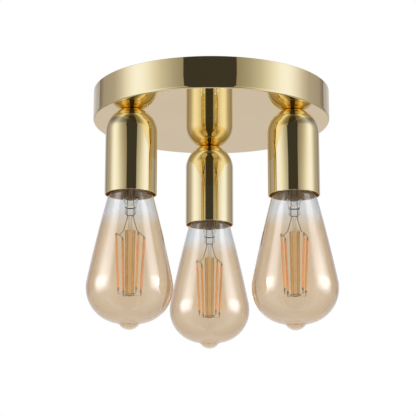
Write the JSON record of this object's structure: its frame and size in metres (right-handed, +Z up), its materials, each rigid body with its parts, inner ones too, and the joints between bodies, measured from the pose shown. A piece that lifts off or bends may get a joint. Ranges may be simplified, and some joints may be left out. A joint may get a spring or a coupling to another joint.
{
  "type": "semi flush ceiling light",
  "caption": "Semi flush ceiling light: a shallow round polished brass plate with short domed bell holders, each holding a screw-in teardrop filament lamp of amber glass.",
  "frame": {"origin": "centre of the face that meets the ceiling", "axes": "+Z up into the ceiling, +Y towards the lamp at the back, X along the fixing strap, with the other two lamps at the front, left and right"},
  "size_m": [0.1865, 0.1947, 0.1915],
  "materials": {
    "polished_brass": "mirror polished and lacquered",
    "polished_brass_screw": "polished",
    "zinc_steel": "bright zinc plated",
    "terminal_brass": "stamped, plain",
    "block_plastic": "moulded",
    "live_sleeve": "smooth sleeve",
    "neutral_sleeve": "smooth sleeve",
    "earth_sleeve": "smooth sleeve, green and yellow",
    "glazed_ceramic": "glazed white porcelain",
    "amber_glass": "clear at the neck, amber below",
    "stem_glass": "clear, fire polished",
    "cap_brass": "bright drawn brass",
    "cap_insulator": "black fused glass",
    "lead_nickel": "drawn nickel wire and solder",
    "filament_phosphor": "silicone and phosphor coating",
    "driver_board": "laminate board"
  },
  "bodies": {
    "fixture": {"ceiling_plate": "polished_brass", "fixing_strap": "zinc_steel", "side_screws": "polished_brass_screw", "terminal_block": "block_plastic", "terminal_barrels": "terminal_brass", "clamp_screws": "zinc_steel", "block_screws": "zinc_steel", "nipples": "zinc_steel", "washers": "zinc_steel", "nipple_nuts": "zinc_steel", "saddle_screws": "zinc_steel", "terminal_screws": "terminal_brass", "live_wires": "live_sleeve", "neutral_wires": "neutral_sleeve", "earth_wire": "earth_sleeve", "earth_nut": "zinc_steel", "bell_back": "polished_brass", "saddle_back": "zinc_steel", "holder_body_back": "glazed_ceramic", "screw_shell_back": "terminal_brass", "live_contact_back": "terminal_brass", "neutral_contact_back": "terminal_brass", "bell_left": "polished_brass", "saddle_left": "zinc_steel", "holder_body_left": "glazed_ceramic", "screw_shell_left": "terminal_brass", "live_contact_left": "terminal_brass", "neutral_contact_left": "terminal_brass", "bell_right": "polished_brass", "saddle_right": "zinc_steel", "holder_body_right": "glazed_ceramic", "screw_shell_right": "terminal_brass", "live_contact_right": "terminal_brass", "neutral_contact_right": "terminal_brass"},
    "lamp_back_contact": {"contact_button_back": "lead_nickel"},
    "lamp_back": {"glass_back": "amber_glass", "cap_back": "cap_brass", "insulator_back": "cap_insulator", "stem_back": "stem_glass", "leads_back": "lead_nickel", "filaments_back": "filament_phosphor", "driver_back": "driver_board"},
    "lamp_left_contact": {"contact_button_left": "lead_nickel"},
    "lamp_left": {"glass_left": "amber_glass", "cap_left": "cap_brass", "insulator_left": "cap_insulator", "stem_left": "stem_glass", "leads_left": "lead_nickel", "filaments_left": "filament_phosphor", "driver_left": "driver_board"},
    "lamp_right_contact": {"contact_button_right": "lead_nickel"},
    "lamp_right": {"glass_right": "amber_glass", "cap_right": "cap_brass", "insulator_right": "cap_insulator", "stem_right": "stem_glass", "leads_right": "lead_nickel", "filaments_right": "filament_phosphor", "driver_right": "driver_board"}
  },
  "joints": [
    {"name": "lamp_back_travel", "type": "slide", "parent": "fixture", "child": "lamp_back_contact", "axis": [0, 0, 1], "range_m": [-0.0182, 0]},
    {"name": "lamp_back_turn", "type": "hinge", "parent": "lamp_back_contact", "child": "lamp_back", "pos_m": [0, 0.0705, -0.0515], "axis": [0, 0, 1], "range_deg": [-1800, 0]},
    {"name": "lamp_left_travel", "type": "slide", "parent": "fixture", "child": "lamp_left_contact", "axis": [0, 0, 1], "range_m": [-0.0182, 0]},
    {"name": "lamp_left_turn", "type": "hinge", "parent": "lamp_left_contact", "child": "lamp_left", "pos_m": [-0.06105, -0.03525, -0.0515], "axis": [0, 0, 1], "range_deg": [-1800, 0]},
    {"name": "lamp_right_travel", "type": "slide", "parent": "fixture", "child": "lamp_right_contact", "axis": [0, 0, 1], "range_m": [-0.0182, 0]},
    {"name": "lamp_right_turn", "type": "hinge", "parent": "lamp_right_contact", "child": "lamp_right", "pos_m": [0.06105, -0.03525, -0.0515], "axis": [0, 0, 1], "range_deg": [-1800, 0]}
  ],
  "couplings": [
    {"joint": "lamp_back_travel", "follows": "lamp_back_turn", "m_per_rad": 0.00057757},
    {"joint": "lamp_left_travel", "follows": "lamp_left_turn", "m_per_rad": 0.00057757},
    {"joint": "lamp_right_travel", "follows": "lamp_right_turn", "m_per_rad": 0.00057757}
  ]
}
